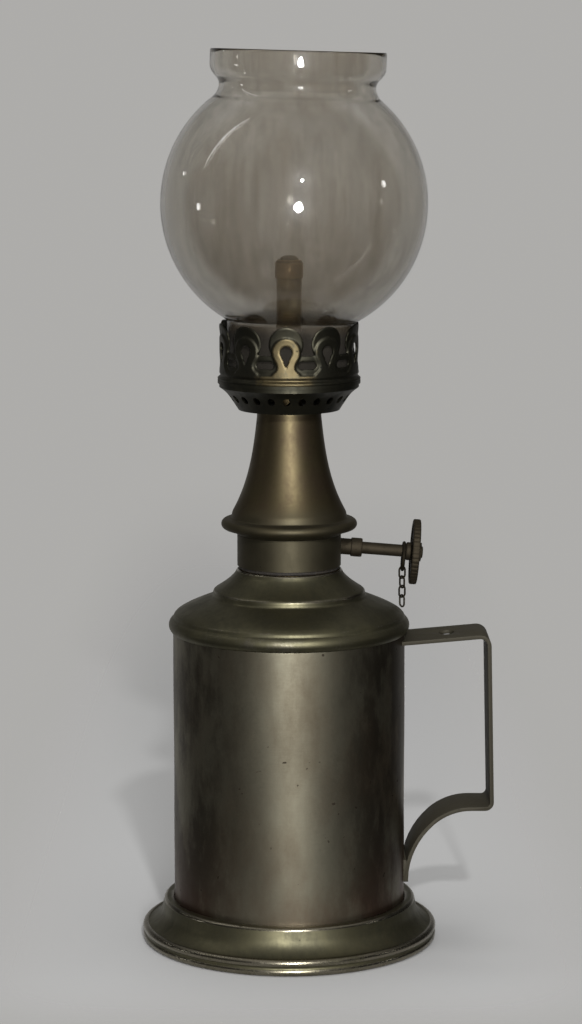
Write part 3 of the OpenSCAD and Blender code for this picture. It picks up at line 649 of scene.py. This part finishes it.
# %% Foot, reservoir and shoulder
turned("spun_foot", "foot", reach=0.3, uneven=dents(0.12, 24.0, 3.0))
turned("rolled_reservoir", "reservoir_shell", reach=0.2, step=2.0, uneven=dents(0.16, 26.0, 40.0))
turned("spun_shoulder", "shoulder", reach=0.3, uneven=dents(0.1, 22.0, 90.0))
print("reservoir, foot and shoulder are turned")

# %% [markdown]
# ## The burner
#
# The burner stands on a leather washer. Its bell was spun, its mouthpiece turned, and the wick's
# shaft passes through a turned gland. The shaft droops a little towards the knob, so its pieces
# are turned about the axis of the joint that moves them.

# %% Washer, bell, mouthpiece and gland
turned("cut_washer", "seal_washer", reach=0.25)
turned("spun_bell", "bell_column", reach=0.35, uneven=dents(0.05, 18.0, 150.0))
turned("turned_mouthpiece", "wick_nozzle", reach=0.2, turns=64)

joints = {j["name"]: j for j in frame["joints"]}
shaft_point = joints["adjuster_turn"]["pos_m"]
shaft_axis = joints["adjuster_turn"]["axis"]
for node in ("adjuster_shaft", "shaft_gland", "gland_nut", "knob_hub"):
    turned("turned_" + node, node, reach=0.22, turns=64, point=shaft_point, axis=shaft_axis)
print("burner and gland are turned")

# %% [markdown]
# ## The glass
#
# The globe was blown, so it is a turned shape too, but it stands loose and leans towards the
# handle. Its two walls are not quite parallel: the glass is thicker here and thinner there,
# which makes the things behind it swim. The outline is read about the leaning axis.

# %% The globe
GLASS_LEAN = math.radians(1.65)
FITTER_RADIUS = 16.6 * MM
glass_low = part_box("glass_globe")[0].z
glass_point = (
    FITTER_RADIUS * (1 - math.cos(GLASS_LEAN)), 0, glass_low + FITTER_RADIUS * math.sin(GLASS_LEAN)
)
glass_axis = (math.sin(GLASS_LEAN), 0, math.cos(GLASS_LEAN))
turned(
    "blown_globe", "glass_globe", reach=0.45, turns=128, point=glass_point, axis=glass_axis,
    uneven=dents(0.05, 19.0, 210.0),
)

# %% [markdown]
# ## The knob and the wick
#
# The knob is a turned disc with a dish in both faces, and its edge is notched so that a finger
# can roll it. Turning it with eight steps to a notch lets one wave cut them all. The wick is a
# round plait: two sets of strands wind against each other, and where they cross the surface
# swells, which is the product of two waves.

# %% The knob
KNOB_RADIUS = 8.65
KNOB_NEAR = 32.4
KNOB_FAR = 33.9
DISH = 0.35
RIM_WIDTH = 1.3
RIM_PROUD = 0.5
BOSS_RADIUS = 3.3
SHAFT_HOLE = 1.62
NOTCHES = 44
NOTCH_DEPTH = 0.12


def notched(radius, height, angle):
    wave = 0.5 - 0.5 * np.cos(angle * NOTCHES)
    rim = np.clip((radius / MM - KNOB_RADIUS + 0.6) / 0.5, 0, 1)
    return radius - NOTCH_DEPTH * MM * rim * wave ** 2, height


inner = KNOB_RADIUS - RIM_WIDTH
knob_face = [(SHAFT_HOLE, 0), (BOSS_RADIUS, 0), (BOSS_RADIUS, DISH), (inner, DISH), (inner, 0)]
knob_outline = [(r, KNOB_NEAR + d) for r, d in knob_face]
knob_outline += [(KNOB_RADIUS, KNOB_NEAR), (KNOB_RADIUS, KNOB_FAR + RIM_PROUD)]
knob_outline += [(inner, KNOB_FAR + RIM_PROUD)]
knob_outline += [(r, KNOB_FAR - d) for r, d in reversed(knob_face[:-1])]
turned(
    "notched_knob", "knob_disc", reach=0.25, turns=NOTCHES * 8, step=0.6,
    point=shaft_point, axis=shaft_axis, uneven=notched,
    outline=[(r * MM, t * MM) for r, t in knob_outline],
)

# %% The wick
STRANDS = 4
PLAIT_LENGTH = 5.0
PLAIT_DEPTH = 0.09


def plaited(radius, height, angle):
    wind = 2 * math.pi * height / MM / PLAIT_LENGTH
    swell = np.cos(STRANDS * angle + wind) * np.cos(STRANDS * angle - wind)
    return radius + np.clip(radius / MM, 0, 1) * MM * PLAIT_DEPTH * (swell - 1), height


turned("plaited_wick", "wick", reach=0.4, turns=64, step=0.5, uneven=plaited)
print("knob and wick are made")

# %% [markdown]
# ## Bent wire
#
# A ring and four links are all that is left of the chain. Each is a loop of round wire: two half
# circles with straight sides between them, and no straight sides in the ring. The middle of a
# loop is the middle of its node's box, whichever way it hangs.

# %% The ring and the links
def bent_wire(name, node, wire, bend, straight, along, across):
    """A closed loop of wire. The wire's radius, the bend's and the straight length are in mm."""
    low_corner, high_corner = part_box(node)
    middle = np.array((low_corner + high_corner) / 2)
    along, across = np.array(along), np.array(across)
    through = np.cross(along, across)
    half = np.linspace(0, math.pi, 25)
    turns = np.concatenate((half, half + math.pi))
    ends = np.repeat((straight / 2, -straight / 2), 25)
    out = np.cos(turns)[:, None] * across + np.sin(turns)[:, None] * along
    path = middle + MM * (bend * out + ends[:, None] * along)
    if straight == 0:
        path, out = np.delete(path, (24, 49), 0), np.delete(out, (24, 49), 0)
    around = np.linspace(0, 2 * math.pi, 16, endpoint=False)
    skin = np.cos(around)[None, :, None] * out[:, None, :] + np.sin(around)[:, None] * through
    points = (path[:, None, :] + wire * MM * skin).reshape(-1, 3)
    rows = len(path)
    faces = [
        (i * 16 + k, i * 16 + (k + 1) % 16, (i + 1) % rows * 16 + (k + 1) % 16, (i + 1) % rows * 16 + k)
        for i in range(rows) for k in range(16)
    ]
    return make_piece(name, node, points, faces, np.full(len(points), 0.35))


RING_WIRE = 0.45
RING_BEND = 3.55
LINK_WIRE = 0.25
LINK_BEND = 0.95
LINK_STRAIGHT = 1.2
LINK_TURN = math.radians(35)

shaft_way = np.array(shaft_axis)
ring_down = np.cross(shaft_way, (0, 1, 0))
bent_wire("bent_ring", "chain_ring", RING_WIRE, RING_BEND, 0, ring_down, (0, 1, 0))
for number in range(1, 5):
    turn = LINK_TURN - (0 if number % 2 else math.pi / 2)
    across = (math.cos(turn), math.sin(turn), 0)
    node = f"chain_link_{number}"
    bent_wire("bent_" + node, node, LINK_WIRE, LINK_BEND, LINK_STRAIGHT, (0, 0, 1), across)
print("ring and links are bent")

# %% [markdown]
# ## Stamped sheet
#
# The gallery's crown was stamped from flat sheet: lobes and air slots punched through, a horseshoe
# raised in each lobe, and the strip bent into a ring. It could be cut with booleans, but a formula
# does it in one go. For each spot of the flat sheet it tells how far inside the metal the spot
# lies. A grid is cut exactly along the line where that depth is zero, the metal thins a little
# towards the line so that its edges are eased, and only then is the sheet bent to its place.

# %% Cutting a grid along a line
def cut_grid(u_values, v_values, depth, period=None):
    """A flat grid kept where depth(u, v) is above zero. Gives its points, depths and faces."""
    step = v_values[1] - v_values[0]
    u, v = np.meshgrid(u_values, v_values, indexing="ij")
    small = 0.1 * step
    inside = depth(u, v)
    slope_u = (depth(u + small, v) - depth(u - small, v)) / (2 * small)
    slope_v = (depth(u, v + small) - depth(u, v - small)) / (2 * small)
    slope = np.maximum(slope_u ** 2 + slope_v ** 2, 0.05)
    near = np.abs(inside) < 0.3 * step
    u = np.where(near, u - inside * slope_u / slope, u)
    v = np.where(near, v - inside * slope_v / slope, v)
    inside = np.where(near, 0.0, inside)
    rows, columns = u.shape
    points = [tuple(p) for p in np.column_stack((u.ravel(), v.ravel()))]
    depths = list(inside.ravel())
    crossings = {}

    def crossing(a, b, here, there):
        key = (min(a, b), max(a, b))
        if key not in crossings:
            share = depths[a] / (depths[a] - depths[b])
            crossings[key] = len(points)
            points.append(tuple(h + (t - h) * share for h, t in zip(here, there)))
            depths.append(0.0)
        return crossings[key]

    faces = []
    for i in range(rows if period else rows - 1):
        shift = period if i == rows - 1 else 0.0
        for j in range(columns - 1):
            n = (i + 1) % rows
            cell = [i * columns + j, n * columns + j, n * columns + j + 1, i * columns + j + 1]
            levels = [depths[k] for k in cell]
            if max(levels) <= 0:
                continue
            if min(levels) >= 0:
                faces.append(cell)
                continue
            spots = [points[k] for k in cell]
            spots[1] = (spots[1][0] + shift, spots[1][1])
            spots[2] = (spots[2][0] + shift, spots[2][1])
            face = []
            for k in range(4):
                a, b = cell[k], cell[(k + 1) % 4]
                if depths[a] >= 0:
                    face.append(a)
                if depths[a] * depths[b] < 0:
                    face.append(crossing(a, b, spots[k], spots[(k + 1) % 4]))
            if len(face) > 2:
                faces.append(face)
    return np.array(points), np.array(depths), faces


# %% Giving the sheet its thickness
def stamped(name, node, grid, place, thickness, ease, wear_and_sheen):
    """Bends a cut grid to its place: place(u, v, lift) gives points on or beside its middle."""
    flat, depths, faces = grid
    used = sorted({k for face in faces for k in face})
    number = {k: i for i, k in enumerate(used)}
    u, v, depths = flat[used, 0], flat[used, 1], depths[used]
    faces = [[number[k] for k in face] for face in faces]
    lift = thickness / 2 * (0.5 + 0.5 * np.sqrt(np.clip(depths / ease, 0, 1)))
    points = np.concatenate((place(u, v, lift), place(u, v, -lift)))
    count = len(used)
    sides = {(a, b) for face in faces for a, b in zip(face, face[1:] + face[:1])}
    walls = [(b, a, a + count, b + count) for a, b in sides if (b, a) not in sides]
    back = [[k + count for k in reversed(face)] for face in faces]
    # For the crown this wear holds a painted highlight on its front lobes.
    worn = wear_and_sheen(u, v, depths)
    return make_piece(name, node, points, faces + back + sorted(walls), np.tile(worn, 2), 60)


def joined(a, b, soft):
    """The larger of two depths, with a soft fillet where they meet."""
    share = np.clip(0.5 + 0.5 * (a - b) / soft, 0, 1)
    return b + (a - b) * share + soft * share * (1 - share)


# %% The crown's pattern
CROWN_RADIUS = 17.8
CROWN_WALL = 0.5
CROWN_HEIGHT = 15.0
CROWN_LOBES = 10
CROWN_TURN = math.radians(-92.4)
CROWN_CURL = 0.7
CURL_START = 8.9
LOBE_RADIUS = 4.45
LOBE_HEIGHT = CROWN_HEIGHT - LOBE_RADIUS
BAND_TOP = 7.6
HOLE_HEIGHT = 8.6
HOLE_RADIUS = 1.6
HOLE_TIP = 4.8
SLOT_HEIGHT = 5.2
SLOT_HALF = 1.45
SLOT_RADIUS = 1.0
HORSESHOE = 3.9
FOOT_BAND = 2.9
RELIEF = 0.35

around_crown = 2 * math.pi * CROWN_RADIUS
pitch = around_crown / CROWN_LOBES


def from_lobe(u):
    """Distance around the crown from the middle of the nearest lobe."""
    return np.abs((u + pitch / 2) % pitch - pitch / 2)


def drop_hole(across, h):
    narrowing = (HOLE_HEIGHT - h) / (HOLE_HEIGHT - HOLE_TIP)
    wedge = HOLE_RADIUS * (1 - np.clip(narrowing, 0, 2)) - across
    circle = HOLE_RADIUS - np.hypot(across, h - HOLE_HEIGHT)
    return np.where(h < HOLE_HEIGHT, np.maximum(circle, 0.92 * wedge), circle)


def crown_depth(u, h):
    across = from_lobe(u)
    lobe = LOBE_RADIUS - np.hypot(across, h - LOBE_HEIGHT)
    metal = joined(lobe, BAND_TOP - h, 1.0)
    beside = np.maximum(np.abs(pitch / 2 - across) - SLOT_HALF, 0)
    slot = SLOT_RADIUS - np.hypot(beside, h - SLOT_HEIGHT)
    metal = np.minimum(metal, np.minimum(-slot, -drop_hole(across, h)))
    return np.minimum(metal, h)


def raised(u, h):
    """Height of the raised pattern, from 0 to 1."""
    across = from_lobe(u)
    shoe = HORSESHOE - np.hypot(across, h - HOLE_HEIGHT)
    waist = 2.6 + 1.2 * np.clip((4.6 - h) / 1.4, 0, 1) ** 2
    stem = np.minimum(waist - across, 7.0 - h)
    pattern = joined(joined(shoe, stem, 0.8), FOOT_BAND - h, 0.8)
    return np.clip(pattern / 0.55, 0, 1) ** 2 * (3 - 2 * np.clip(pattern / 0.55, 0, 1))


# %% The crown
crown_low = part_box("gallery_crown")[0].z / MM


def crown_place(u, h, lift):
    angle = u / CROWN_RADIUS + CROWN_TURN
    rise = np.clip((h - CURL_START) / (CROWN_HEIGHT - CURL_START), 0, 1)
    flare = 0.8 * np.clip(1.3 - h, 0, 0.7) / 0.7
    r = CROWN_RADIUS - CROWN_WALL / 2 + CROWN_CURL * rise ** 2 + flare
    r = r + RELIEF * raised(u, h) * np.clip((h - 1.3) / 0.6, 0, 1) + lift
    return MM * np.column_stack((r * np.cos(angle), r * np.sin(angle), h + crown_low + 0 * r))


# The raised pattern is worn all round, and the lobes at the front get a painted highlight on top.
def crown_wear_and_highlight(u, h, depths):
    from_front = np.abs((u + around_crown / 2) % around_crown - around_crown / 2)
    front_highlight = 0.15 + 0.85 * np.clip((9.5 - from_front) / 4.0, 0, 1)
    return raised(u, h) * front_highlight


CROWN_STEP = 0.27
crown_u = np.linspace(0, around_crown, round(around_crown / CROWN_STEP), endpoint=False)
crown_v = np.arange(-0.2, CROWN_HEIGHT + 0.4, CROWN_STEP)
crown_grid = cut_grid(crown_u, crown_v, crown_depth, period=around_crown)
stamped("stamped_crown", "gallery_crown", crown_grid, crown_place, CROWN_WALL, 0.3, crown_wear_and_highlight)
print("crown faces:", len(crown_grid[2]))

# %% [markdown]
# ## Eased edges
#
# The strap of the handle and a few fittings have the right shape already, but a knife-sharp edge
# never catches the light. So their meshes are copied, the flat faces are joined up again, and
# every true edge gets a narrow bevel.

# %% Pieces with eased edges
def eased(name, node, width, segments=2):
    shape = bmesh.new()
    shape.from_mesh(frame["nodes"][node].data)
    bmesh.ops.remove_doubles(shape, verts=shape.verts, dist=1e-6)
    bmesh.ops.dissolve_limit(
        shape, angle_limit=math.radians(0.5), verts=shape.verts, edges=shape.edges
    )
    sharp = [e for e in shape.edges if e.is_manifold and e.calc_face_angle() > math.radians(50)]
    bmesh.ops.bevel(
        shape, geom=sharp, offset=width * MM, segments=segments, profile=0.5,
        affect="EDGES", clamp_overlap=True,
    )
    shape.verts.index_update()
    points = [v.co.copy() for v in shape.verts]
    faces = [[v.index for v in f.verts] for f in shape.faces]
    shape.free()
    return make_piece(name, node, points, faces)


eased("eased_strap", "handle_strap", 0.22)
eased("eased_knob_nut", "knob_nut", 0.12)
print("strap and nut are eased")

# %% [markdown]
# ## The studio
#
# A metal piece shows what it faces. With one soft lamp next to the camera, its middle faces the
# lamp, its sides face the dim ends of the studio, and its outermost edges face the pale backdrop.
# A wide lamp overhead lights the floor, which is pale too and fades into the backdrop all round,
# so no horizon shows. An even white studio would be simpler, but then round metal looks flat.

# %% The floor
def floor_finish():
    f = Finish.named("floor")
    x, y, z = f.axes()
    sides = x.math("ABSOLUTE").between(40.0, 100.0)
    front = (-y).between(38.0, 90.0)
    back = y.between(250.0, 900.0)
    beyond = 1 - (1 - sides) * (1 - front) * (1 - back)
    table = f.node("ShaderNodeBsdfPrincipled", None, {
        "Base Color": grey(0.375), "Roughness": 0.85, "Specular IOR Level": 0.0,
    })
    clear = f.node("ShaderNodeBsdfTransparent")
    return f.output(f.blend(beyond, table, clear))


FLOOR_SIZE = 2.4
floor_mesh = bpy.data.meshes.new("floor")
corner = FLOOR_SIZE / 2
floor_mesh.from_pydata(
    [(-corner, -corner, 0), (corner, -corner, 0), (corner, corner, 0), (-corner, corner, 0)],
    [], [(0, 1, 2, 3)],
)
floor_mesh.materials.append(floor_finish())
floor = bpy.data.objects.new("floor", floor_mesh)
bpy.context.scene.collection.objects.link(floor)


# %% The studio's light
BACKDROP = 0.42
DIM_END = 0.03
CEILING = 0.5
DIFFUSE_LIGHT = 0.3


def studio_light():
    studio = bpy.data.worlds.new("studio")
    bpy.context.scene.world = studio
    f = Finish(studio)
    facing = f.axes(f.node("ShaderNodeTexCoord", output="Generated"))
    behind = (facing[1] - facing[0] * 0.17 - facing[2] * 0.5).between(0.6, 0.93) * 0.8
    above = facing[2].between(0.45, 1.0) * (1 + (-facing[1]).between(0.1, 0.7) * 0.7)
    rays = f.node("ShaderNodeLightPath").socket.node.outputs
    seen = Wire(f, rays["Is Camera Ray"]) + Wire(f, rays["Is Transmission Ray"])
    glossy = Wire(f, rays["Is Glossy Ray"])
    diffuse = Wire(f, rays["Is Diffuse Ray"])
    pale = (seen + glossy * behind).at_most(1.0)
    dim = DIM_END + above * (CEILING - DIM_END)
    strength = dim + pale * (BACKDROP - dim) + diffuse * (DIFFUSE_LIGHT - dim)
    shader = f.node("ShaderNodeBackground", None, {
        "Color": colour(1.0, 0.985, 0.955), "Strength": strength,
    })
    f.output(shader, "ShaderNodeOutputWorld")


studio_light()


# %% The lamps
def soft_box(name, place, aim, width, height, watts, mirrored=True):
    data = bpy.data.lights.new(name, "AREA")
    data.shape = "ELLIPSE"
    data.size = width
    data.size_y = height
    data.energy = watts
    light = bpy.data.objects.new(name, data)
    light.location = place
    light.rotation_euler = (Vector(aim) - Vector(place)).to_track_quat("-Z", "Y").to_euler()
    light.visible_glossy = mirrored
    light.visible_transmission = mirrored
    bpy.context.scene.collection.objects.link(light)
    return light


MIDDLE = (0, 0, 0.11)
soft_box("flash", (0.048, -0.86, 0.19), MIDDLE, 0.11, 0.13, 6.3)
soft_box("high_lamp", (0.09, -0.8, 0.52), MIDDLE, 0.036, 0.036, 5.0)
GLOBE = (0.003, 0, 0.19)
soft_box("left_spark", (-1.0, -0.03, 0.17), GLOBE, 0.06, 0.08, 0.19)
soft_box("right_spark", (0.98, -0.1, 0.42), GLOBE, 0.06, 0.08, 0.19)
soft_box("far_spark", (-0.8, 0.36, 0.4), GLOBE, 0.025, 0.03, 0.03)
soft_box("strip_lamp", (-0.69, 0, 0.82), GLOBE, 0.035, 0.7, 0.35)
soft_box("overhead", (0, 0.1, 1.2), MIDDLE, 0.9, 0.9, 7.0, mirrored=False)
soft_box("backdrop", (0, 1.0, 0.9), (0, 0.3, 0), 0.8, 0.5, 2.0, mirrored=False)

bpy.context.scene.view_settings.view_transform = "Standard"
